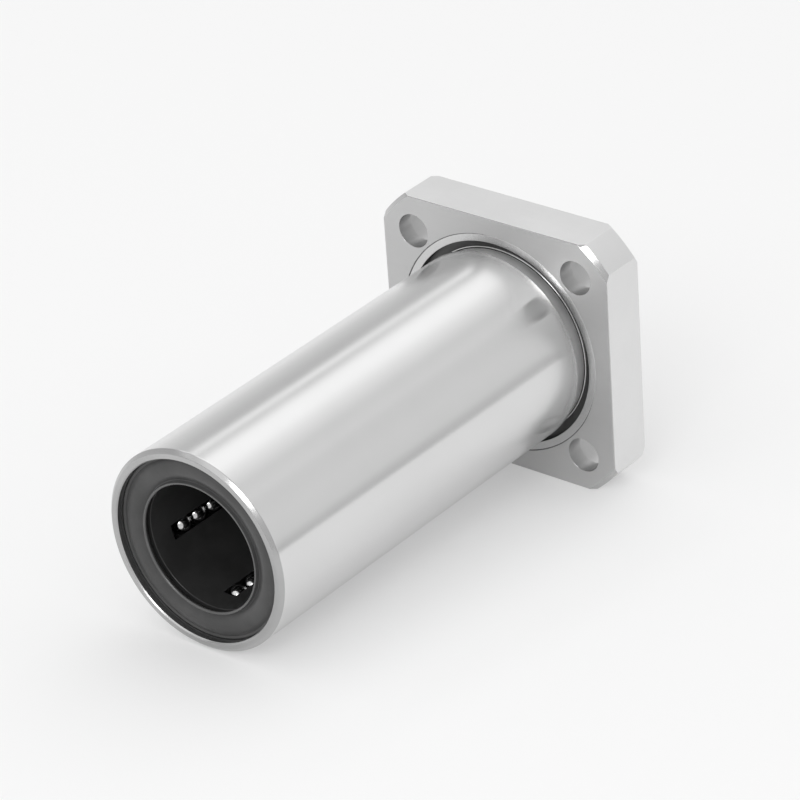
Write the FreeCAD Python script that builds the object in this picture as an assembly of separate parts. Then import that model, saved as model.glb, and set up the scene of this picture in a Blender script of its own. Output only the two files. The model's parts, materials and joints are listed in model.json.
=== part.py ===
import FreeCAD, Part
import math
import os

V = FreeCAD.Vector

# Square flange linear bearing, long type: two ball retainers in one flanged steel cylinder.
# Millimetres. The bore runs along Y, the free end points to -Y, and +Z is up.
# The origin lies on the bore axis, in the flange face that seats against the machine.

# Shaft and balls
shaft_dia = 20.0
ball_dia = 3.175
circuits = 5
first_circuit_angle = 270.0
return_lift = 0.9
turn_lift = 0.63
ball_pitch = 3.3
free_places = 1
row_clearance = 0.2

# Outer cylinder
tube_length = 72.0
raceway_play = 0.03
return_play = 0.125
seat_step = 0.24
tube_wall = 1.56
nose_chamfer = 0.55
mouth_chamfer = 0.2
land_half_angle = 9.0
land_lead = 1.0
land_inset = 0.4

# Flange
flange_width = 42.0
flange_thickness = 8.0
flange_corner_dia = 54.0
corner_chamfer = 0.9
bolt_circle = 43.0
bolt_holes = 4
bolt_hole_dia = 5.5
head_seat_dia = 9.0
head_seat_depth = 5.1

# Grinding relief between tube and flange
relief_length = 1.5
neck_depth = 0.7
neck_lead = 0.4
relief_reach = 1.1
relief_depth = 0.75
facing_width = 1.25
facing_depth = 0.1

# End seal
seal_recess = 1.0
seal_thickness = 1.5
lip_clearance = 0.04
lip_land = 0.5
lip_width = 0.5
lip_bevel = 0.15
lip_flare = 0.6
dish_width = 0.9
dish_depth = 0.6
rim_width = 0.3
rim_gap = 0.15
rim_groove = 0.2

# Retaining ring
ring_thickness = 0.8
ring_grip = 0.45
ring_play = 0.05
ring_inset = 2.0
ring_gap_angle = 24.0

# Ball retainer
retainer_bore_gap = 0.35
retainer_lead = 0.4
retainer_play = 0.1
end_wall = 0.55
island_wall = 0.9
middle_wall = 3.2
channel_play = 0.15
slot_lip = 0.6
floor_play = 0.06
nose_play = 0.1

# Radii, from the shaft outwards
ball_r = ball_dia / 2
shaft_r = shaft_dia / 2
pitch_r = shaft_r + ball_r
return_r = pitch_r + return_lift
raceway_r = pitch_r + ball_r + raceway_play
bore_relief_r = return_r + ball_r + return_play
seat_r = bore_relief_r + seat_step
groove_r = seat_r + ring_grip
ring_bore_r = seat_r - ring_inset
tube_r = seat_r + tube_wall
retainer_bore_r = shaft_r + retainer_bore_gap
retainer_r = raceway_r - retainer_play
channel_half = ball_r + channel_play
turn_floor = pitch_r + turn_lift - ball_r - floor_play
return_floor = return_r - ball_r - floor_play

# Angle from a circuit's loaded leg to its return leg, and the radius of the turns between them
circuit_turn = math.degrees((2 * channel_half + island_wall) / turn_floor)
turn_r = math.hypot(
    return_r * math.cos(math.radians(circuit_turn)) - pitch_r,
    return_r * math.sin(math.radians(circuit_turn)),
) / 2
circuit_step = 360.0 / circuits

# Places along the bore, as depths below each end face
seal_back = seal_recess + seal_thickness
ring_back = seal_back + ring_thickness
body_length = tube_length + flange_thickness
half_length = body_length / 2
retainer_nose = seal_back + nose_play
apex_edge = ring_back + ring_play + end_wall
leg_start = apex_edge + channel_half + turn_r
leg_end = half_length - middle_wall - channel_half - turn_r
leg_length = leg_end - leg_start
row_length = leg_length - 2 * row_clearance
row_gaps = int(row_length / ball_pitch) - free_places
row_slack = row_length - row_gaps * ball_pitch

bore_axis = V(0, 1, 0)
centre = V(0, 0, 0)


def front(depth):
    return depth - tube_length


def rear(depth):
    return flange_thickness - depth


def outline(place, start, *steps):
    # each step is a point to draw a line to, or a pair: a point to arc through and the arc's end
    edges = []
    here = start
    for step in steps + (start,):
        if isinstance(step[0], tuple):
            through, here_next = step
            curve = Part.Arc(place(*here), place(*through), place(*here_next))
        else:
            here_next = step
            curve = Part.LineSegment(place(*here), place(*here_next))
        edges.append(curve.toShape())
        here = here_next
    return Part.Face(Part.Wire(edges))


def section(radius, y):
    return V(radius, y, 0)


def turned(start, *steps, angle=360.0):
    return outline(section, start, *steps).revolve(centre, bore_axis, angle)


def at_angle(shape, degrees):
    # zero lies on +X and the angle grows towards +Z
    return shape.rotated(centre, -bore_axis, degrees)


def outer_cylinder():
    end = front(0)
    back = rear(0)
    recess_r = tube_r + relief_reach
    facing_r = recess_r + facing_width
    disc_r = flange_corner_dia / 2
    neck_r = tube_r - neck_depth

    def seat(side, step_out):
        # from the mouth of one end inwards, past the ring groove
        return [
            (seat_r + mouth_chamfer, side(0)),
            (seat_r, side(mouth_chamfer)),
            (seat_r, side(seal_back)),
            (groove_r, side(seal_back)),
            (groove_r, side(ring_back + ring_play)),
            (bore_relief_r, side(ring_back + ring_play)),
        ][::step_out]

    def lands(side, step_out):
        return [
            (bore_relief_r, side(leg_start + land_inset - land_lead)),
            (raceway_r, side(leg_start + land_inset)),
            (raceway_r, side(leg_end - land_inset)),
            (bore_relief_r, side(leg_end - land_inset + land_lead)),
        ][::step_out]

    body = turned(
        (tube_r - nose_chamfer, end),
        (tube_r, end + nose_chamfer),
        (tube_r, -relief_length),
        (neck_r, neck_lead - relief_length),
        (neck_r, relief_depth),
        (recess_r, relief_depth),
        (recess_r, facing_depth),
        (facing_r, facing_depth),
        (facing_r, 0.0),
        (disc_r - corner_chamfer, 0.0),
        (disc_r, corner_chamfer),
        (disc_r, back - corner_chamfer),
        (disc_r - corner_chamfer, back),
        *seat(rear, 1),
        *lands(rear, 1),
        *lands(front, -1),
        *seat(front, -1),
    )
    return body.common(square_bar()).cut(bolt_cuts() + return_channels())


def square_bar():
    half = flange_width / 2
    return Part.makeBox(flange_width, body_length, flange_width, V(-half, -tube_length, -half))


def bolt_cuts():
    cuts = []
    for number in range(bolt_holes):
        hole = Part.makeCylinder(bolt_hole_dia / 2, flange_thickness, centre, bore_axis)
        seat_floor = V(0, rear(head_seat_depth), 0)
        head = Part.makeCylinder(head_seat_dia / 2, head_seat_depth, seat_floor, bore_axis)
        cut = hole.fuse(head)
        cut.translate(V(bolt_circle / 2, 0, 0))
        cuts.append(at_angle(cut, (number + 0.5) * 360.0 / bolt_holes))
    return cuts


def return_channels():
    # clears the bore between the raceway lands, so that returning balls run free
    width = circuit_step - 2 * land_half_angle
    cuts = []
    for side in (front, rear):
        near = side(leg_start + land_inset - land_lead)
        far = side(leg_end - land_inset + land_lead)
        channel = turned(
            (retainer_bore_r, near),
            (bore_relief_r, near),
            (bore_relief_r, far),
            (retainer_bore_r, far),
            angle=width,
        )
        for number in range(circuits):
            cuts.append(at_angle(channel, circuit_angle(number) + land_half_angle + width))
    return cuts


def circuit_angle(number):
    return first_circuit_angle + number * circuit_step


def end_seal(side):
    lip_r = shaft_r + lip_clearance
    lip_top = lip_r + lip_width
    dish_r = lip_top + dish_width
    rim_in = seat_r - rim_gap - rim_width
    groove_in = rim_in - rim_width
    face = seal_recess
    bottom = seal_recess + dish_depth
    return turned(
        (lip_r, side(face + lip_bevel)),
        (lip_r + lip_bevel, side(face)),
        (lip_top - lip_bevel, side(face)),
        (lip_top, side(bottom)),
        (dish_r, side(face)),
        (groove_in, side(face)),
        (rim_in, side(face + rim_groove)),
        (rim_in + rim_width, side(face)),
        (seat_r, side(face + rim_gap)),
        (seat_r, side(seal_back)),
        (lip_r + lip_flare, side(seal_back)),
        (lip_r, side(bottom + lip_land)),
    )


def retaining_ring(side):
    near = side(seal_back)
    far = side(ring_back)
    rim = groove_r - ring_play
    ring = turned(
        (ring_bore_r, near),
        (rim, near),
        (rim, far),
        (ring_bore_r, far),
        angle=360.0 - ring_gap_angle,
    )
    return at_angle(ring, 90.0 - ring_gap_angle / 2)


def leg_slot(side, reach, profile):
    start = side(leg_start - reach)

    def place(across, radius):
        return V(radius, start, across)

    return outline(place, *profile).extrude(V(0, side(leg_end + reach) - start, 0))


def turn_pocket(side, leg_depth, outward):
    def place(across, along):
        return V(0, side(leg_depth + outward * along), across)

    wide = turn_r + channel_half
    narrow = island_wall / 2
    face = outline(
        place, (-wide, 0.0), ((0.0, wide), (wide, 0.0)), (narrow, 0.0), ((0.0, narrow), (-narrow, 0.0))
    )
    core = Part.makeCylinder(turn_floor, body_length, V(0, -tube_length, 0), bore_axis)
    return face.extrude(V(tube_r, 0, 0)).cut(core)


def ball_retainer(side):
    nose_r = ring_bore_r - nose_play
    shoulder = ring_back + ring_play
    tube = turned(
        (retainer_bore_r, side(retainer_nose + retainer_lead)),
        (retainer_bore_r + retainer_lead, side(retainer_nose)),
        (nose_r, side(retainer_nose)),
        (nose_r, side(shoulder)),
        (retainer_r, side(shoulder)),
        (retainer_r, side(half_length)),
        (retainer_bore_r, side(half_length)),
    )
    # the loaded slot narrows towards the shaft, so that the balls show through but stay in
    lip_half = channel_half - slot_lip
    lip_r = retainer_bore_r + slot_lip
    window_half = lip_half + turn_floor - retainer_bore_r
    window = leg_slot(
        side,
        channel_half,
        [
            (-lip_half, shaft_r),
            (lip_half, shaft_r),
            (lip_half, retainer_bore_r),
            (window_half, turn_floor),
            (-window_half, turn_floor),
            (-lip_half, retainer_bore_r),
        ],
    )
    loaded = leg_slot(
        side,
        0.0,
        [
            (-lip_half, retainer_bore_r),
            (lip_half, retainer_bore_r),
            (channel_half, lip_r),
            (channel_half, tube_r),
            (-channel_half, tube_r),
            (-channel_half, lip_r),
        ],
    )
    returning = leg_slot(
        side,
        0.0,
        [
            (-channel_half, return_floor),
            (channel_half, return_floor),
            (channel_half, tube_r),
            (-channel_half, tube_r),
        ],
    )
    pockets = [turn_pocket(side, leg_start, -1), turn_pocket(side, leg_end, 1)]
    cuts = []
    for number in range(circuits):
        angle = circuit_angle(number)
        cuts += [at_angle(window, angle), at_angle(loaded, angle)]
        cuts.append(at_angle(returning, angle + circuit_turn))
        cuts += [at_angle(pocket, angle + circuit_turn / 2) for pocket in pockets]
    return tube.cut(cuts)


def slab(normal, half):
    # a plate of the given half thickness, square to the normal
    wide = 4 * ball_dia
    plate = Part.makeBox(wide, wide, 2 * half, V(-wide / 2, -wide / 2, -half))
    plate.Placement = FreeCAD.Placement(centre, FreeCAD.Rotation(V(0, 0, 1), normal)) * plate.Placement
    return plate


def cube(half):
    return Part.makeBox(2 * half, 2 * half, 2 * half, V(-half, -half, -half))


def cut_corners(ball, distance):
    for sign in (-1, 1):
        for normal in (V(1, sign, 1), V(-1, sign, 1)):
            ball = ball.common(slab(normal, distance))
    return ball


def loaded_ball():
    # 18 flats touch the true ball, along and halfway between the axes, and 8 take off its corners
    ball = cube(ball_r)
    for sign in (-1, 1):
        for normal in (V(0, 1, sign), V(sign, 0, 1), V(1, sign, 0)):
            ball = ball.common(slab(normal, ball_r))
    return cut_corners(ball, ball_r * (2 * math.sqrt(2) - 1) / math.sqrt(3))


def return_ball():
    # hidden in its channel, so it has fewer flats: a cube cut to the middles of its edges
    return cut_corners(cube(ball_r * math.sqrt(3) / 2), ball_r)


def ball_rows(side, number):
    # each circuit stands a little further along its track than the one before
    shift = number * row_slack / (3 * circuits)

    def placed(ball, turn, radius, depth):
        return at_angle(ball.translated(V(radius, side(depth), 0)), circuit_angle(number) + turn)

    first = leg_start + row_clearance + shift
    depths = [first + index * ball_pitch for index in range(row_gaps + 1)]
    loaded = [placed(bearing_ball, 0.0, pitch_r, depth) for depth in depths]
    returning = [placed(spare_ball, circuit_turn, return_r, depth) for depth in depths]
    for apex in (leg_start - turn_r, leg_end + turn_r):
        returning.append(placed(spare_ball, circuit_turn / 2, pitch_r + turn_lift, apex))
    return Part.makeCompound(loaded), Part.makeCompound(returning)


def export(name, shape):
    shape.exportStep("parts/" + name + ".step")


os.makedirs("parts", exist_ok=True)
bearing_ball = loaded_ball()
spare_ball = return_ball()
export("flanged_outer_cylinder", outer_cylinder())
for end_name, end_side in (("front", front), ("rear", rear)):
    export("end_seal_" + end_name, end_seal(end_side))
    export("retaining_ring_" + end_name, retaining_ring(end_side))
    export("ball_retainer_" + end_name, ball_retainer(end_side))
    for circuit in range(circuits):
        loaded_row, return_row = ball_rows(end_side, circuit)
        export("loaded_balls_" + end_name + "_" + str(circuit + 1), loaded_row)
        export("return_balls_" + end_name + "_" + str(circuit + 1), return_row)
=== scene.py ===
import json
import math

import bmesh
import bpy
from mathutils import Matrix, Quaternion, Vector


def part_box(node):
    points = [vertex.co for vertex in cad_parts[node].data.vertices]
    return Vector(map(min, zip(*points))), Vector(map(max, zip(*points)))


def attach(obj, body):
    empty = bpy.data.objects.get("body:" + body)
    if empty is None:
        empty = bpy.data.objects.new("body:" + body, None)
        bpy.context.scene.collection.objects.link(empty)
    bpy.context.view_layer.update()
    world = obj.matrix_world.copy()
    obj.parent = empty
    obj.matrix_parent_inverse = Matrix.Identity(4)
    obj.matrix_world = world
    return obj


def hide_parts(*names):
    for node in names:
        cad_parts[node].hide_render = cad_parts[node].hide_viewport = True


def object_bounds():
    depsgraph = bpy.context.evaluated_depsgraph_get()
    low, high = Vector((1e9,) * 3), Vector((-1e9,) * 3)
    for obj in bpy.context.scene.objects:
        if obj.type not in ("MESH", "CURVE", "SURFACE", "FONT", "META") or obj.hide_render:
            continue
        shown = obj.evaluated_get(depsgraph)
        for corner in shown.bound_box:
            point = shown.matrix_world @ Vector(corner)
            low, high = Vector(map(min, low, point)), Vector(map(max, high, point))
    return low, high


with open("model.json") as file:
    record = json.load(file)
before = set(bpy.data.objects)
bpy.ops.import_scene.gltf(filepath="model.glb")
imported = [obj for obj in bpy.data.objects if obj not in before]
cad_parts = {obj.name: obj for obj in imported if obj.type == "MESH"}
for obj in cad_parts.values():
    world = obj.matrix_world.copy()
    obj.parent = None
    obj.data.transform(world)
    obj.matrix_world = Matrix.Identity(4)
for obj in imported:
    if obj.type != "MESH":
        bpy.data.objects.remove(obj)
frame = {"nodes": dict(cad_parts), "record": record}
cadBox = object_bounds()
mm = 0.001
touch = 1e-6  # points nearer than this are one point
mountSizes = {mount["name"]: mount["dims"] for mount in frame["record"]["mounts"]}
bolts = mountSizes["flange_bolts"]
housingLow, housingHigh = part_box("flanged_outer_cylinder")
freeEnd = housingLow.y
flangeBack = housingHigh.y
flangeHalf = housingHigh.x
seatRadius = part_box("end_seal_front")[1].x
tubeRadius = mountSizes["housing_spigot"]["r_mm"] * mm
lipRadius = mountSizes["shaft_bore"]["r_mm"] * mm
print("frame:", len(frame["nodes"]), "nodes")


# depths below the two end faces, as places along the bore
def front(depth):
    return freeEnd + depth


def rear(depth):
    return flangeBack - depth


# node helpers: a socket is named, and its value is a plain value or another node's output
def addNode(tree, kind, sockets=None, **settings):
    made = tree.nodes.new(kind)
    for name, value in settings.items():
        setattr(made, name, value)
    for name, value in (sockets or {}).items():
        if isinstance(value, bpy.types.NodeSocket):
            tree.links.new(value, made.inputs[name])
        else:
            made.inputs[name].default_value = value
    return made


def mathOf(tree, operation, *values):
    return addNode(tree, "ShaderNodeMath", dict(enumerate(values)), operation=operation).outputs[0]


def addGroup(kind, name, inputs, outputs):
    tree = bpy.data.node_groups.new(name, kind)
    for way, sockets in (("INPUT", inputs), ("OUTPUT", outputs)):
        for socketName, socketType in sockets.items():
            tree.interface.new_socket(socketName, in_out=way, socket_type=socketType)
    return tree, tree.nodes.new("NodeGroupInput").outputs, tree.nodes.new("NodeGroupOutput").inputs


def useGroup(tree, group, sockets):
    kind = tree.bl_idname.replace("NodeTree", "NodeGroup")
    return addNode(tree, kind, sockets, node_tree=group).outputs


# Shared surface effects
def makeLatheMarks():
    # fine lines that run round the bore axis, on barrels and on end faces alike
    tree, given, result = addGroup(
        "ShaderNodeTree",
        "latheMarks",
        {"Vector": "NodeSocketVector", "Lines per Metre": "NodeSocketFloat", "Sweep": "NodeSocketFloat"},
        {"Lines": "NodeSocketFloat"},
    )
    split = addNode(tree, "ShaderNodeSeparateXYZ", {"Vector": given["Vector"]}).outputs
    flat = addNode(tree, "ShaderNodeCombineXYZ", {"X": split["X"], "Y": split["Z"]}).outputs[0]
    radius = addNode(tree, "ShaderNodeVectorMath", {0: flat}, operation="LENGTH").outputs["Value"]
    spoke = addNode(tree, "ShaderNodeVectorMath", {0: flat}, operation="NORMALIZE").outputs[0]
    swept = addNode(
        tree, "ShaderNodeVectorMath", {0: spoke, "Scale": given["Sweep"]}, operation="SCALE"
    ).outputs[0]
    place = mathOf(tree, "ADD", radius, split["Y"])
    across = mathOf(tree, "MULTIPLY", place, given["Lines per Metre"])
    rise = addNode(tree, "ShaderNodeCombineXYZ", {"Z": across}).outputs[0]
    spot = addNode(tree, "ShaderNodeVectorMath", {0: swept, 1: rise}, operation="ADD").outputs[0]
    noise = addNode(tree, "ShaderNodeTexNoise", {"Vector": spot, "Scale": 1.0, "Detail": 3.0}).outputs
    tree.links.new(noise[0], result["Lines"])
    return tree


def makeToolStrokes():
    # short straight strokes of a milling cutter, long along one way and close together across it
    tree, given, result = addGroup(
        "ShaderNodeTree",
        "toolStrokes",
        {"Vector": "NodeSocketVector", "Along": "NodeSocketFloat", "Across": "NodeSocketFloat"},
        {"Lines": "NodeSocketFloat"},
    )
    stretch = addNode(
        tree,
        "ShaderNodeCombineXYZ",
        {"X": given["Along"], "Y": given["Across"], "Z": given["Across"]},
    ).outputs[0]
    spot = addNode(
        tree, "ShaderNodeVectorMath", {0: given["Vector"], 1: stretch}, operation="MULTIPLY"
    ).outputs[0]
    noise = addNode(tree, "ShaderNodeTexNoise", {"Vector": spot, "Scale": 1.0, "Detail": 3.0}).outputs
    tree.links.new(noise[0], result["Lines"])
    return tree


def makeHaze():
    # broad soft clouds, as of an oil film or handling
    tree, given, result = addGroup(
        "ShaderNodeTree",
        "surfaceHaze",
        {"Vector": "NodeSocketVector", "Patches per Metre": "NodeSocketFloat"},
        {"Haze": "NodeSocketFloat"},
    )
    noise = addNode(
        tree,
        "ShaderNodeTexNoise",
        {"Vector": given["Vector"], "Scale": given["Patches per Metre"], "Detail": 4.0, "Roughness": 0.6},
    ).outputs[0]
    soft = addNode(
        tree,
        "ShaderNodeMapRange",
        {"Value": noise, "From Min": 0.3, "From Max": 0.7},
        interpolation_type="SMOOTHSTEP",
    ).outputs[0]
    tree.links.new(soft, result["Haze"])
    return tree


latheMarks = makeLatheMarks()
toolStrokes = makeToolStrokes()
surfaceHaze = makeHaze()


def newMaterial(name):
    material = bpy.data.materials.new(name)
    material.use_nodes = True
    tree = material.node_tree
    shader = tree.nodes["Principled BSDF"]
    place = addNode(tree, "ShaderNodeTexCoord").outputs["Object"]
    return material, tree, shader, place


def hazeOf(tree, place, finish):
    return useGroup(tree, surfaceHaze, {"Vector": place, "Patches per Metre": finish["patches"]})["Haze"]


def grey(value):
    return (value, value, value, 1.0)


def spread(tree, value, low, high):
    return addNode(tree, "ShaderNodeMapRange", {"Value": value, "To Min": low, "To Max": high}).outputs[0]


def tones(tree, factor, dark, light):
    # sockets 6 and 7 are the two colours of a colour mix, and output 2 is its result
    return addNode(
        tree, "ShaderNodeMix", {"Factor": factor, 6: grey(dark), 7: grey(light)}, data_type="RGBA"
    ).outputs[2]


markHeight = 0.05 * mm  # how high the marks and the grain stand at full bump strength


def setFinish(tree, shader, finish, toneMask, glossMask, height=None):
    # how pale and how rough a surface is, and the fine marks that stand on it
    feeds = {
        "Base Color": tones(tree, toneMask, finish["dark"], finish["light"]),
        "Roughness": spread(tree, glossMask, *finish["gloss"]),
    }
    if height is not None:
        marks = {"Height": height, "Strength": finish["bump"], "Distance": markHeight}
        feeds["Normal"] = addNode(tree, "ShaderNodeBump", marks).outputs[0]
    for socket, feed in feeds.items():
        tree.links.new(feed, shader.inputs[socket])


# Bearing steel in its finishes, and the spring steel
# lines is how close the marks lie in a metre, and sweep how soon they change along their length
steelFinishes = {
    "groundSteel": {"marks": "lathe", "lines": 14000.0, "sweep": 2.0, "dark": 0.68, "light": 0.72,
                    "gloss": (0.16, 0.2), "bump": 0.02, "patches": 45.0, "stretch": 0.94},
    "turnedSteel": {"marks": "lathe", "lines": 9000.0, "sweep": 4.0, "dark": 0.46, "light": 0.55,
                    "gloss": (0.1, 0.16), "bump": 0.06, "patches": 90.0},
    "endSteel": {"marks": "lathe", "lines": 9000.0, "sweep": 4.0, "dark": 0.41, "light": 0.5,
                 "gloss": (0.18, 0.28), "bump": 0.08, "patches": 90.0},
    "facedSteel": {"marks": "lathe", "lines": 9000.0, "sweep": 3.0, "dark": 0.57, "light": 0.64,
                   "gloss": (0.22, 0.28), "bump": 0.04, "patches": 80.0},
    "neckSteel": {"marks": "lathe", "lines": 7000.0, "sweep": 5.0, "dark": 0.66, "light": 0.76,
                  "gloss": (0.7, 0.8), "bump": 0.06, "patches": 120.0},
    # nearly black steel on the relief groove's floor and outer wall: the dark oxide of an unground groove,
    # deepened with painted shade
    "reliefSteel": {"marks": "lathe", "lines": 7000.0, "sweep": 5.0, "dark": 0.07, "light": 0.12,
                    "gloss": (0.35, 0.45), "bump": 0.06, "patches": 120.0},
    "drilledSteel": {"marks": "lathe", "lines": 6000.0, "sweep": 6.0, "dark": 0.41, "light": 0.51,
                     "gloss": (0.3, 0.42), "bump": 0.06, "patches": 140.0},
    "milledSteel": {"marks": "mill", "lines": 5000.0, "sweep": 90.0, "dark": 0.55, "light": 0.62,
                    "gloss": (0.5, 0.6), "bump": 0.05, "patches": 70.0},
    # the flange's four sides: a paler copy of the milled steel, painted light that makes the sides brighter
    # than the front face
    "paintedLitSideSteel": {"marks": "mill", "lines": 4200.0, "sweep": 120.0, "dark": 0.72, "light": 0.79,
                  "gloss": (0.38, 0.5), "bump": 0.06, "patches": 60.0},
    "springSteel": {"marks": "lathe", "lines": 6000.0, "sweep": 6.0, "dark": 0.3, "light": 0.42,
                    "gloss": (0.3, 0.45), "bump": 0.1, "patches": 120.0},
}


def makeSteel(name):
    finish = steelFinishes[name]
    material, tree, shader, place = newMaterial(name)
    if finish["marks"] == "lathe":
        marks = useGroup(
            tree,
            latheMarks,
            {"Vector": place, "Lines per Metre": finish["lines"], "Sweep": finish["sweep"]},
        )
    else:
        marks = useGroup(
            tree,
            toolStrokes,
            {"Vector": place, "Along": finish["sweep"], "Across": finish["lines"]},
        )
    lines = marks["Lines"]
    # the tone lies halfway between the marks and the haze
    blend = mathOf(tree, "MULTIPLY", mathOf(tree, "ADD", lines, hazeOf(tree, place, finish)), 0.5)
    shader.inputs["Metallic"].default_value = 1.0
    if "stretch" in finish:
        # marks that run round the tube blur what it mirrors along the bore
        shader.inputs["Anisotropic"].default_value = finish["stretch"]
        along = addNode(tree, "ShaderNodeCombineXYZ", {"Y": 1.0}).outputs[0]
        tree.links.new(along, shader.inputs["Tangent"])
    setFinish(tree, shader, finish, blend, blend, lines)
    return material


# Moulded black pieces and the balls
mouldedFinishes = {
    "blackRubber": {"dark": 0.06, "light": 0.08, "gloss": (0.3, 0.42), "grain": 2600.0, "bump": 0.1,
                    "patches": 160.0, "shine": 0.3},
    # paler, glossier rubber on the lip's crest: a painted highlight along the crest
    "paintedLipHighlight": {"dark": 0.085, "light": 0.115, "gloss": (0.2, 0.3), "grain": 2600.0, "bump": 0.08,
                "patches": 160.0, "shine": 0.6},
    "blackResin": {"dark": 0.03, "light": 0.042, "gloss": (0.28, 0.38), "grain": 1500.0, "bump": 0.02,
                   "patches": 220.0, "shine": 0.5},
}


def makeMoulded(name):
    finish = mouldedFinishes[name]
    material, tree, shader, place = newMaterial(name)
    grain = addNode(
        tree, "ShaderNodeTexNoise", {"Vector": place, "Scale": finish["grain"], "Detail": 4.0}
    ).outputs[0]
    shader.inputs["Specular IOR Level"].default_value = finish["shine"]
    setFinish(tree, shader, finish, hazeOf(tree, place, finish), grain, grain)
    return material


ballFinish = {"dark": 0.5, "light": 0.6, "gloss": (0.05, 0.1), "patches": 900.0}


def makeBallSteel():
    material, tree, shader, place = newMaterial("ballSteel")
    haze = hazeOf(tree, place, ballFinish)
    shader.inputs["Metallic"].default_value = 1.0
    setFinish(tree, shader, ballFinish, haze, haze)
    return material


steels = {name: makeSteel(name) for name in steelFinishes}
moulded = {name: makeMoulded(name) for name in mouldedFinishes}
ballSteel = makeBallSteel()
print("materials:", len(bpy.data.materials))


# Geometry trees
def makeTurnedTree():
    # sweeps a chain of section points, radius along X and place along Y, round the bore axis
    tree, given, result = addGroup(
        "GeometryNodeTree",
        "turnedPiece",
        {"Section": "NodeSocketGeometry", "Segments": "NodeSocketInt", "Material": "NodeSocketMaterial"},
        {"Piece": "NodeSocketGeometry"},
    )
    count = addNode(
        tree, "GeometryNodeAttributeDomainSize", {"Geometry": given["Section"]}, component="MESH"
    ).outputs["Point Count"]
    stops = mathOf(tree, "ADD", given["Segments"], 1.0)
    grid = addNode(
        tree,
        "GeometryNodeMeshGrid",
        {"Size X": 1.0, "Size Y": 1.0, "Vertices X": count, "Vertices Y": stops},
    ).outputs["Mesh"]
    index = addNode(tree, "GeometryNodeInputIndex").outputs[0]
    # the half keeps the division clear of whole numbers, which rounding could take either way
    step = mathOf(tree, "FLOOR", mathOf(tree, "DIVIDE", mathOf(tree, "ADD", index, 0.5), stops))
    stop = mathOf(tree, "SUBTRACT", index, mathOf(tree, "MULTIPLY", step, stops))
    angle = mathOf(tree, "MULTIPLY", mathOf(tree, "DIVIDE", stop, given["Segments"]), math.tau)
    point = addNode(
        tree,
        "GeometryNodeSampleIndex",
        {
            "Geometry": given["Section"],
            "Value": addNode(tree, "GeometryNodeInputPosition").outputs[0],
            "Index": step,
        },
        data_type="FLOAT_VECTOR",
    ).outputs[0]
    split = addNode(tree, "ShaderNodeSeparateXYZ", {0: point}).outputs
    swept = addNode(
        tree,
        "ShaderNodeCombineXYZ",
        {
            "X": mathOf(tree, "MULTIPLY", split["X"], mathOf(tree, "COSINE", angle)),
            "Y": split["Y"],
            "Z": mathOf(tree, "MULTIPLY", split["X"], mathOf(tree, "SINE", angle)),
        },
    ).outputs[0]
    skin = addNode(tree, "GeometryNodeSetPosition", {"Geometry": grid, "Position": swept}).outputs[0]
    closed = addNode(tree, "GeometryNodeMergeByDistance", {"Geometry": skin, "Distance": touch}).outputs[0]
    real = addNode(tree, "GeometryNodeRealizeInstances", {"Geometry": closed}).outputs[0]
    done = addNode(
        tree, "GeometryNodeSetMaterial", {"Geometry": real, "Material": given["Material"]}
    ).outputs[0]
    tree.links.new(done, result["Piece"])
    return tree


def makeBallTree():
    # a smooth ball on every point
    tree, given, result = addGroup(
        "GeometryNodeTree",
        "ballRow",
        {
            "Centres": "NodeSocketGeometry",
            "Ball Radius": "NodeSocketFloat",
            "Roundness": "NodeSocketInt",
            "Material": "NodeSocketMaterial",
        },
        {"Balls": "NodeSocketGeometry"},
    )
    ball = addNode(
        tree,
        "GeometryNodeMeshIcoSphere",
        {"Radius": given["Ball Radius"], "Subdivisions": given["Roundness"]},
    ).outputs["Mesh"]
    smooth = addNode(tree, "GeometryNodeSetShadeSmooth", {"Geometry": ball}).outputs[0]
    balls = addNode(
        tree, "GeometryNodeInstanceOnPoints", {"Points": given["Centres"], "Instance": smooth}
    ).outputs[0]
    real = addNode(tree, "GeometryNodeRealizeInstances", {"Geometry": balls}).outputs[0]
    done = addNode(
        tree, "GeometryNodeSetMaterial", {"Geometry": real, "Material": given["Material"]}
    ).outputs[0]
    tree.links.new(done, result["Balls"])
    return tree


turnedTree = makeTurnedTree()
ballTree = makeBallTree()


def runTree(tree, points, edges, values):
    # puts the points through a tree and gives back the plain mesh that comes out
    seed = bpy.data.meshes.new("seed")
    seed.from_pydata(points, edges, [])
    carrier = bpy.data.objects.new("carrier", seed)
    bpy.context.scene.collection.objects.link(carrier)
    modifier = carrier.modifiers.new("shape", "NODES")
    modifier.node_group = tree
    sockets = {item.name: item.identifier for item in tree.interface.items_tree if item.in_out == "INPUT"}
    for name, value in values.items():
        modifier[sockets[name]] = value
    graph = bpy.context.evaluated_depsgraph_get()
    mesh = bpy.data.meshes.new_from_object(carrier.evaluated_get(graph), depsgraph=graph)
    bpy.data.objects.remove(carrier)
    return mesh


def turnedMesh(section, material, segments, closed=False):
    points = [(radius, place, 0.0) for radius, place in section]
    if closed:
        points.append(points[0])
    edges = [(index, index + 1) for index in range(len(points) - 1)]
    return runTree(turnedTree, points, edges, {"Segments": segments, "Material": material})


roundingShare = 0.48  # the most of an edge that the rounding at one of its ends takes


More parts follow.
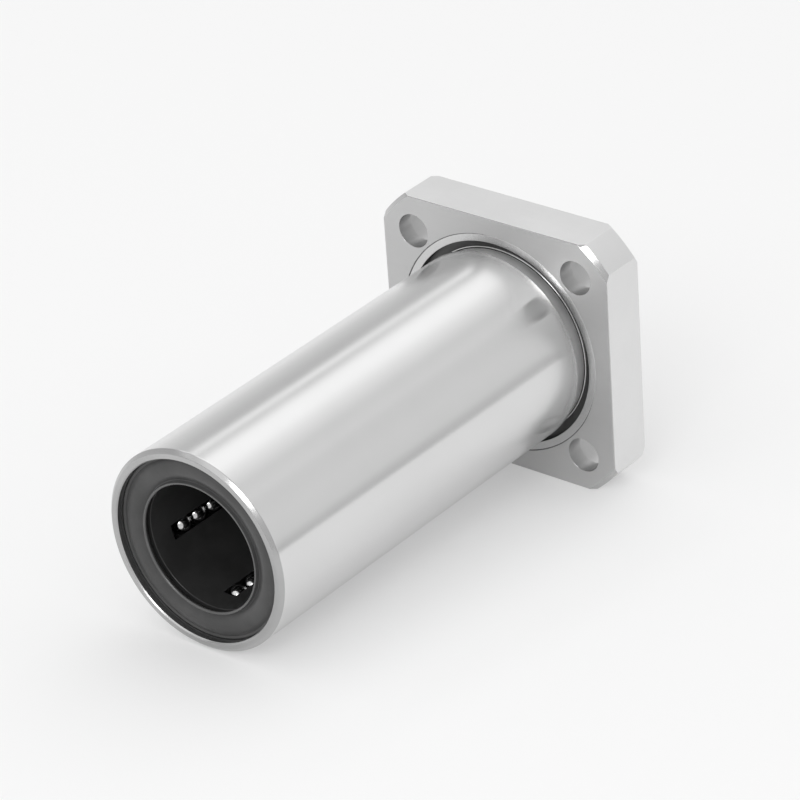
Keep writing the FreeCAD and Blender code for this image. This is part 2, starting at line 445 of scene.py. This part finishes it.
def roundedSection(corners, closed=False, steps=4):
    # corners are radius, place and rounding; each rounding becomes a short arc
    section = []
    last = len(corners) - 1
    for index, (radius, place, rounding) in enumerate(corners):
        corner = Vector((radius, place))
        if rounding == 0.0 or (not closed and index in (0, last)):
            section.append(tuple(corner))
            continue
        before = Vector(corners[index - 1][:2]) - corner
        after = Vector(corners[(index + 1) % len(corners)][:2]) - corner
        half = before.angle(after) / 2
        shortest = min(before.length, after.length)
        reach = min(rounding / math.tan(half), roundingShare * shortest)
        start = corner + before.normalized() * reach
        end = corner + after.normalized() * reach
        inward = (before.normalized() + after.normalized()).normalized()
        middle = inward * (reach / math.cos(half)) + corner
        turn = (end - middle).angle_signed(start - middle)
        for step in range(steps + 1):
            spoke = Matrix.Rotation(turn * step / steps, 2) @ (start - middle)
            section.append(tuple(middle + spoke))
    return section


squareOn = 0.9999  # a normal with this much of it along the bore belongs to a face square to the bore


def addPiece(name, mesh, materials, slot, *nodes, crease=35.0, flats=False):
    if not mesh.materials:
        for material in materials:
            mesh.materials.append(material)
    carried = mesh.attributes.get("custom_normal")
    if carried:
        # normals left over from the frame's mesh would blunt the sharp edges
        mesh.attributes.remove(carried)
    mesh.shade_smooth()
    mesh.set_sharp_from_angle(angle=math.radians(crease))
    if flats:
        # faces square to the bore stay dead flat up to their edges
        for face in mesh.polygons:
            face.use_smooth = abs(face.normal.y) < squareOn
    piece = bpy.data.objects.new(name, mesh)
    bpy.context.scene.collection.objects.link(piece)
    weighted = piece.modifiers.new("evenShading", "WEIGHTED_NORMAL")
    weighted.keep_sharp = True
    graph = bpy.context.evaluated_depsgraph_get()
    shaded = bpy.data.meshes.new_from_object(piece.evaluated_get(graph), depsgraph=graph)
    piece.modifiers.clear()
    piece.data = shaded
    bpy.data.meshes.remove(mesh)
    shaded.name = name
    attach(piece, "root")
    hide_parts(*nodes)
    print(name + ":", len(shaded.polygons), "faces")


# Flanged outer cylinder
housing = {
    "noseChamfer": 0.62 * mm, "noseEase": 0.3 * mm, "mouthChamfer": 0.2 * mm, "edgeBreak": 0.06 * mm,
    "seatDepth": 2.5 * mm, "ringGrooveReach": 0.45 * mm, "boreMargin": 0.05 * mm,
    "reliefLength": 1.58 * mm, "neckDepth": 0.7 * mm, "neckLead": 0.7 * mm, "reliefReach": 0.9 * mm,
    "reliefDepth": 1.3 * mm, "reliefFillet": 0.25 * mm, "facingWidth": 1.3 * mm,
    "facingDepth": 0.1 * mm, "facingLine": 0.14 * mm, "facingLineDepth": 0.12 * mm,
    "cornerRadius": 27.0 * mm, "cornerChamfer": 0.7 * mm, "cornerEase": 0.03 * mm, "rimRound": 0.12 * mm,
    "headSeatRadius": 4.5 * mm, "headSeatDepth": 5.1 * mm, "holeChamfer": 0.05 * mm,
    "tubeSegments": 256, "holeSegments": 64, "tubeSteps": 6, "cornerSteps": 10, "rimSteps": 4,
    "crease": 25.0,
    # limits between finishes: height off the ground barrel, and how far a face looks along the bore
    "barrelBand": 0.03 * mm, "faceTilt": 0.99, "sideTilt": 0.1,
}
neckRadius = tubeRadius - housing["neckDepth"]
recessRadius = tubeRadius + housing["reliefReach"]
facingRadius = recessRadius + housing["facingWidth"]


def tubeSection():
    edge = housing["edgeBreak"]
    ease = housing["noseEase"]
    mouth = housing["mouthChamfer"]
    nose = housing["noseChamfer"]
    relief = -housing["reliefLength"]
    bottom = housing["reliefDepth"]
    facing = housing["facingDepth"]
    return roundedSection(
        [
            (seatRadius, front(housing["seatDepth"]), 0.0),
            (seatRadius, front(mouth), edge),
            (seatRadius + mouth, freeEnd, edge),
            (tubeRadius - nose, freeEnd, ease),
            (tubeRadius, front(nose), ease),
            (tubeRadius, relief, edge),
            (neckRadius, housing["neckLead"] + relief, edge),
            (neckRadius, bottom, housing["reliefFillet"]),
            (recessRadius, bottom, edge),
            (recessRadius, facing, edge),
            (facingRadius - housing["facingLine"], facing, edge),
            (facingRadius, facing + housing["facingLineDepth"], 0.0),
            (facingRadius, edge / 2, 0.0),
            (facingRadius + edge / 2, 0.0, 0.0),
        ],
        steps=housing["tubeSteps"],
    )


def rearMouthSection():
    mouth = housing["mouthChamfer"]
    return roundedSection(
        [
            (seatRadius, rear(housing["seatDepth"]), 0.0),
            (seatRadius, rear(mouth), housing["edgeBreak"]),
            (seatRadius + mouth, flangeBack, 0.0),
        ]
    )


def boltHoleSection():
    hole = bolts["hole_r_mm"] * mm
    headSeat = housing["headSeatRadius"]
    seatPlace = rear(housing["headSeatDepth"])
    chamfer = housing["holeChamfer"]
    edge = housing["edgeBreak"]
    return roundedSection(
        [
            (hole + chamfer, 0.0, 0.0),
            (hole, chamfer, edge),
            (hole, seatPlace, edge),
            (headSeat, seatPlace, edge),
            (headSeat, rear(chamfer), edge),
            (headSeat + chamfer, flangeBack, 0.0),
        ]
    )


def rimOutline(place):
    # one turn round the square rim at a place along the bore, its corners turned and chamfered
    bend = housing["rimRound"]
    depth = min(place, flangeBack - place)
    sink = max(0.0, bend - depth)
    half = flangeHalf - (bend - math.sqrt(max(0.0, bend**2 - sink**2)))
    corner = housing["cornerRadius"] - max(0.0, housing["cornerChamfer"] - depth)
    meet = math.acos(half / corner)
    first = meet + housing["cornerEase"] / corner
    side = half * math.tan(meet) - housing["cornerEase"]
    spots = [(half, side)]
    for step in range(housing["cornerSteps"] + 1):
        angle = first + step / housing["cornerSteps"] * (math.pi / 2 - 2 * first)
        spots.append((corner * math.cos(angle), corner * math.sin(angle)))
    spots.append((side, half))
    turns = [Matrix.Rotation(quarter * math.pi / 2, 2) for quarter in range(4)]
    points = [turn @ Vector(spot) for turn in turns for spot in spots]
    return [Vector((point.x, place, point.y)) for point in points]


def rimPlaces():
    steps = housing["rimSteps"]
    arc = [1 - math.cos(math.pi / 2 * step / steps) for step in range(steps + 1)]
    near = [housing["rimRound"] * share for share in arc] + [housing["cornerChamfer"]]
    return near + [flangeBack - place for place in reversed(near)]


def addRim(bm):
    rings = [[bm.verts.new(point) for point in rimOutline(place)] for place in rimPlaces()]
    count = len(rings[0])
    for ring, following in zip(rings, rings[1:]):
        for index in range(count):
            after = (index + 1) % count
            bm.faces.new((ring[index], ring[after], following[after], following[index]))


def addBoltHoles(bm):
    mesh = turnedMesh(boltHoleSection(), steels["turnedSteel"], housing["holeSegments"])
    for number in range(bolts["count"]):
        angle = (number + 0.5) * math.tau / bolts["count"]
        spoke = Vector((math.cos(angle), 0.0, math.sin(angle))) * bolts["pcd_mm"] / 2 * mm
        hole = mesh.copy()
        hole.transform(Matrix.Translation(spoke))
        bm.from_mesh(hole)


def addBore(bm):
    # the ring grooves and raceways keep the shape they have in the frame
    reach = seatRadius + housing["ringGrooveReach"] + housing["boreMargin"]
    planes = (front(housing["seatDepth"]), rear(housing["seatDepth"]))
    bore = bmesh.new()
    bore.from_mesh(frame["nodes"]["flanged_outer_cylinder"].data)
    bmesh.ops.remove_doubles(bore, verts=bore.verts, dist=touch)
    spare = []
    for face in bore.faces:
        places = [vert.co.y for vert in face.verts]
        wide = max(math.hypot(vert.co.x, vert.co.z) for vert in face.verts)
        inside = planes[0] - touch < min(places) and max(places) < planes[1] + touch
        onPlane = any(all(abs(place - plane) < touch for place in places) for plane in planes)
        if wide > reach or not inside or onPlane:
            spare.append(face)
    bmesh.ops.delete(bore, geom=spare, context="FACES")
    mesh = bpy.data.meshes.new("bore")
    bore.to_mesh(mesh)
    bore.free()
    bm.from_mesh(mesh)


def fillPlane(bm, place):
    # closes a flat face between all the open loops that lie in one plane
    loops = [
        edge
        for edge in bm.edges
        if edge.is_boundary and all(abs(vert.co.y - place) < touch for vert in edge.verts)
    ]
    bmesh.ops.triangle_fill(bm, use_beauty=True, edges=loops, normal=(0.0, 1.0, 0.0))


def housingFinish(face):
    middle = face.calc_center_median()
    radius = math.hypot(middle.x, middle.z)
    bottom = housing["reliefDepth"]
    fillet = housing["reliefFillet"]
    if abs(radius - tubeRadius) < housing["barrelBand"] and middle.y < -housing["reliefLength"]:
        return "groundSteel"
    if middle.y < front(housing["noseChamfer"] + housing["noseEase"]):
        return "endSteel"
    if radius < seatRadius + housing["ringGrooveReach"]:
        return "turnedSteel"
    if middle.y < bottom + touch and radius < facingRadius:
        if radius > recessRadius + touch:
            return "facedSteel"
        # the groove's floor and outer wall take the nearly black steel, its own dark oxide and painted
        # shade; the fillet at the neck stays turned
        if middle.y > bottom - fillet:
            return "turnedSteel" if radius < neckRadius + fillet else "reliefSteel"
        return "neckSteel" if radius < tubeRadius else "reliefSteel"
    if abs(face.normal.y) > housing["faceTilt"]:
        return "milledSteel"
    spoke = bolts["pcd_mm"] / 2 * mm * math.sqrt(0.5)
    fromHole = math.hypot(abs(middle.x) - spoke, abs(middle.z) - spoke)
    if fromHole < housing["headSeatRadius"] + 2 * housing["holeChamfer"]:
        return "drilledSteel"
    # the flange's sides take the paler steel with painted light
    return "paintedLitSideSteel" if abs(face.normal.y) < housing["sideTilt"] else "turnedSteel"


def makeHousing():
    bm = bmesh.new()
    for section in (tubeSection(), rearMouthSection()):
        bm.from_mesh(turnedMesh(section, steels["turnedSteel"], housing["tubeSegments"]))
    addRim(bm)
    addBoltHoles(bm)
    addBore(bm)
    depth = housing["seatDepth"]
    for place in (front(depth), 0.0, rear(depth), flangeBack):
        fillPlane(bm, place)
    bmesh.ops.remove_doubles(bm, verts=bm.verts, dist=touch)
    bmesh.ops.recalc_face_normals(bm, faces=bm.faces)
    names = [name for name in steelFinishes if name != "springSteel"]
    for face in bm.faces:
        face.material_index = names.index(housingFinish(face))
    print("housing open edges:", sum(not edge.is_manifold for edge in bm.edges))
    mesh = bpy.data.meshes.new("flangedHousing")
    bm.to_mesh(mesh)
    bm.free()
    addPiece(
        "flangedHousing",
        mesh,
        [steels[name] for name in names],
        "ground_steel",
        "flanged_outer_cylinder",
        crease=housing["crease"],
        flats=True,
    )


makeHousing()

# End seals
seal = {
    "recess": 1.0 * mm, "thickness": 1.5 * mm, "lipWidth": 0.5 * mm, "lipBevel": 0.15 * mm,
    "lipLand": 0.35 * mm, "lipFlare": 1.0 * mm, "dishWidth": 0.7 * mm, "dishDepth": 0.75 * mm,
    "swellHeight": 0.3 * mm, "swellSteps": 10,
    "rimWidth": 0.3 * mm, "rimGap": 0.15 * mm, "rimGroove": 0.2 * mm, "softEdge": 0.12 * mm,
    "segments": 192,
}


def sealSwell(inner, outer):
    # the face swells in a low arch between the dish round the lip and the groove at the rim
    steps = seal["swellSteps"]
    arch = []
    for step in range(steps + 1):
        share = 2 * step / steps - 1
        radius = (inner + outer + share * (outer - inner)) / 2
        arch.append((radius, seal["recess"] + seal["swellHeight"] * share**2, 0.0))
    return arch


def sealSection(side):
    lipTop = lipRadius + seal["lipWidth"]
    bevel = seal["lipBevel"]
    rim = seal["rimWidth"]
    rimIn = seatRadius - seal["rimGap"] - rim
    face = seal["recess"]
    foot = face + seal["swellHeight"]
    back = face + seal["thickness"]
    soft = seal["softEdge"]
    corners = [
        (lipRadius, face + bevel, soft),
        (lipRadius + bevel, face, soft),
        (lipTop - bevel, face, soft),
        (lipTop, face + seal["dishDepth"], soft),
        *sealSwell(lipTop + seal["dishWidth"], rimIn - rim),
        (rimIn, foot + seal["rimGroove"], soft),
        (rimIn + rim, foot, soft),
        (seatRadius, foot + seal["rimGap"], 0.0),
        (seatRadius, back, 0.0),
        (lipRadius + seal["lipFlare"], back, soft),
        (lipRadius, face + seal["lipLand"], soft),
    ]
    placed = [(radius, side(depth), rounding) for radius, depth, rounding in corners]
    return roundedSection(placed, closed=True)


def makeSeal(name, side, node):
    mesh = turnedMesh(sealSection(side), moulded["blackRubber"], seal["segments"], closed=True)
    bm = bmesh.new()
    bm.from_mesh(mesh)
    bmesh.ops.recalc_face_normals(bm, faces=bm.faces)
    for face in bm.faces:
        middle = face.calc_center_median()
        depth = abs(middle.y - side(seal["recess"]))
        fromLip = math.hypot(middle.x, middle.z) - lipRadius
        # faces on the lip's crest get the paler rubber, a painted highlight
        face.material_index = int(touch < fromLip < seal["lipWidth"] and depth < seal["lipBevel"])
    # clearing the materials resets the faces' slots, so it comes before the faces are written back
    mesh.materials.clear()
    bm.to_mesh(mesh)
    bm.free()
    addPiece(name, mesh, [moulded["blackRubber"], moulded["paintedLipHighlight"]], "black_rubber", node)


makeSeal("frontSeal", front, "end_seal_front")
makeSeal("rearSeal", rear, "end_seal_rear")

# Ball retainers and retaining rings: the frame's shapes with their round faces shaded smooth
retainer = {"boreRadius": 10.35 * mm, "noseDepth": 2.6 * mm, "lead": 0.4 * mm, "edge": 0.05 * mm}


def narrowLead(bm, side):
    # the mouth of the retainer's bore gets a fine edge in place of its wide lead
    nose = side(retainer["noseDepth"])
    bore = retainer["boreRadius"]
    share = retainer["edge"] / retainer["lead"]
    for vert in bm.verts:
        radius = math.hypot(vert.co.x, vert.co.z)
        along = vert.co.y - nose
        if abs(along) < retainer["lead"] + touch and radius < bore + retainer["lead"] + touch:
            shrink = (bore + share * (radius - bore)) / radius
            vert.co = (vert.co.x * shrink, nose + share * along, vert.co.z * shrink)


def smoothCopy(name, node, material, slot, side):
    bm = bmesh.new()
    bm.from_mesh(frame["nodes"][node].data)
    bmesh.ops.remove_doubles(bm, verts=bm.verts, dist=touch)
    if "retainer" in node:
        narrowLead(bm, side)
    mesh = bpy.data.meshes.new(name)
    bm.to_mesh(mesh)
    bm.free()
    addPiece(name, mesh, [material], slot, node)


for end, endSide in (("front", front), ("rear", rear)):
    smoothCopy(end + "Retainer", "ball_retainer_" + end, moulded["blackResin"], "black_resin", endSide)
    smoothCopy(end + "SnapRing", "retaining_ring_" + end, steels["springSteel"], "spring_steel", endSide)

# Balls
balls = {"diameter": 3.175 * mm, "loadedRoundness": 3, "returnRoundness": 2, "crease": 180.0}


def ballCentres(node):
    # the middle of each loose ball in one row of the frame, in the order of the row's points
    bm = bmesh.new()
    bm.from_mesh(frame["nodes"][node].data)
    bmesh.ops.remove_doubles(bm, verts=bm.verts, dist=touch)
    seen = set()
    centres = []
    for first in bm.verts:
        if first in seen:
            continue
        seen.add(first)
        ball = [first]
        for vert in ball:  # grows while it is walked, until the whole ball is in it
            linked = [link.other_vert(vert) for link in vert.link_edges]
            fresh = [other for other in linked if other not in seen]
            seen.update(fresh)
            ball += fresh
        centres.append(sum((vert.co for vert in ball), Vector()) / len(ball))
    bm.free()
    return centres


def makeBalls(name, start, roundness):
    nodes = sorted(node for node in frame["nodes"] if node.startswith(start))
    centres = [centre for node in nodes for centre in ballCentres(node)]
    values = {"Ball Radius": balls["diameter"] / 2, "Roundness": roundness, "Material": ballSteel}
    mesh = runTree(ballTree, centres, [], values)
    print(name + ":", len(centres), "balls")
    addPiece(name, mesh, [ballSteel], "ball_steel", *nodes, crease=balls["crease"])


makeBalls("loadedBalls", "loaded_balls_", balls["loadedRoundness"])
makeBalls("returnBalls", "return_balls_", balls["returnRoundness"])

# Floor: the bearing lies on the flange's lower edge and the tube's free end
floor = {
    "reach": 0.24, "segments": 128, "roughness": 0.9,
    "colour": 0.78, "glow": 0.16,  # as the steel mirrors it
    "seenColour": 0.63, "seenGlow": 0.285,  # as the camera sees it, with its shadows lifted more
}


def makeFloor():
    flangeFoot = Vector((0.0, 0.0, -flangeHalf))
    tubeFoot = Vector((0.0, freeEnd, -tubeRadius))
    right = Vector((1.0, 0.0, 0.0))
    lean = (flangeFoot - tubeFoot).normalized()
    up = right.cross(lean)
    bm = bmesh.new()
    bmesh.ops.create_circle(bm, cap_ends=True, segments=floor["segments"], radius=floor["reach"])
    turn = Matrix((right, lean, up)).transposed().to_4x4()
    bm.transform(Matrix.Translation(flangeFoot) @ turn)
    mesh = bpy.data.meshes.new("paleFloor")
    bm.to_mesh(mesh)
    bm.free()
    material, tree, shader = newMaterial("paleFloor")[:3]
    shader.inputs["Roughness"].default_value = floor["roughness"]
    shader.inputs["Specular IOR Level"].default_value = 0.0
    shader.inputs["Emission Color"].default_value = grey(1.0)
    path = addNode(tree, "ShaderNodeLightPath").outputs
    colour = tones(tree, path["Is Camera Ray"], floor["colour"], floor["seenColour"])
    mirrored = mathOf(tree, "MULTIPLY", path["Is Glossy Ray"], floor["glow"])
    glow = mathOf(tree, "MULTIPLY_ADD", path["Is Camera Ray"], floor["seenGlow"], mirrored)
    tree.links.new(colour, shader.inputs["Base Color"])
    tree.links.new(glow, shader.inputs["Emission Strength"])
    mesh.materials.append(material)
    piece = bpy.data.objects.new("paleFloor", mesh)
    bpy.context.scene.collection.objects.link(piece)
    print("floor:", 2 * floor["reach"], "m across")


makeFloor()

# Studio: a pale room with a long softbox and a thin light strip overhead, and a key light beside the camera
room = {
    # degrees about the bore axis, 0 straight right and 90 straight up, and how bright the room is there
    "levels": [(-180, 0.9), (-163, 1.12), (-100, 1.1), (-13, 0.85), (-10, 0.6), (-5, 0.62), (-2, 0.7),
               (3, 0.82), (24, 0.84), (40, 0.815), (48, 0.82), (55, 0.87), (70, 0.82), (88, 1.07),
               (98, 1.28), (116, 1.32), (122, 0.85), (128, 0.6), (130, 1.45), (135, 1.45), (137, 0.54),
               (152, 0.68), (180, 0.9)],
    "brightest": 1.45,
    "background": 0.93,
}


def makeRoom():
    world = bpy.data.worlds.new("paleRoom")
    bpy.context.scene.world = world
    world.use_nodes = True
    tree = world.node_tree
    tree.nodes.clear()
    way = addNode(tree, "ShaderNodeTexCoord").outputs["Generated"]
    split = addNode(tree, "ShaderNodeSeparateXYZ", {0: way}).outputs
    angle = mathOf(tree, "ARCTAN2", split["Z"], split["X"])
    share = mathOf(tree, "MULTIPLY_ADD", angle, 1 / math.tau, 0.5)
    ramp = addNode(tree, "ShaderNodeValToRGB", {"Fac": share})
    stops = ramp.color_ramp.elements
    ready = len(stops)
    for index, (degrees, value) in enumerate(room["levels"]):
        stop = stops[index] if index < ready else stops.new(1.0)
        stop.position = degrees / 360 + 0.5
        stop.color = grey(value / room["brightest"])
    lit = addNode(
        tree, "ShaderNodeBackground", {"Color": ramp.outputs[0], "Strength": room["brightest"]}
    ).outputs[0]
    plain = addNode(tree, "ShaderNodeBackground", {"Color": grey(room["background"])}).outputs[0]
    path = addNode(tree, "ShaderNodeLightPath").outputs
    shown = addNode(tree, "ShaderNodeMixShader", {0: path["Is Camera Ray"], 1: lit, 2: plain}).outputs[0]
    addNode(tree, "ShaderNodeOutputWorld", {"Surface": shown})
    print("room:", len(stops), "levels")


softbox = {"towards": (0.305, -0.735, 0.606), "distance": 1.2, "size": (0.4, 0.4), "level": 5.0}


def makeSoftbox():
    light = bpy.data.lights.new("keySoftbox", "AREA")
    light.shape = "RECTANGLE"
    light.size, light.size_y = softbox["size"]
    light.energy = softbox["level"] * math.pi * light.size * light.size_y
    way = Vector(softbox["towards"]).normalized()
    lamp = bpy.data.objects.new("keySoftbox", light)
    lamp.location = (cadBox[0] + cadBox[1]) / 2 + way * softbox["distance"]
    lamp.rotation_mode = "QUATERNION"
    lamp.rotation_quaternion = (-way).to_track_quat("-Z", "Y")
    bpy.context.scene.collection.objects.link(lamp)
    print("key light:", round(light.energy, 2), "W")


makeRoom()
makeSoftbox()

# Camera, as the photograph was taken
view = {
    "place": (0.3436, -0.43571, 0.30081), "aim": (0.00239, -0.02724, 0.00381),
    "roll": -4.21, "lens": 185.97, "sensor": 36.0, "near": 0.01, "far": 20.0,
}


def makeCamera():
    data = bpy.data.cameras.new("photoCamera")
    data.sensor_width = view["sensor"]
    data.lens = view["lens"]
    data.clip_start = view["near"]
    data.clip_end = view["far"]
    camera = bpy.data.objects.new("photoCamera", data)
    place = Vector(view["place"])
    look = (Vector(view["aim"]) - place).to_track_quat("-Z", "Y")
    camera.rotation_mode = "QUATERNION"
    camera.rotation_quaternion = look @ Quaternion((0.0, 0.0, 1.0), math.radians(view["roll"]))
    camera.location = place
    bpy.context.scene.collection.objects.link(camera)
    bpy.context.scene.camera = camera
    print("camera:", view["lens"], "mm lens")


makeCamera()
bpy.context.scene.view_settings.view_transform = "Standard"
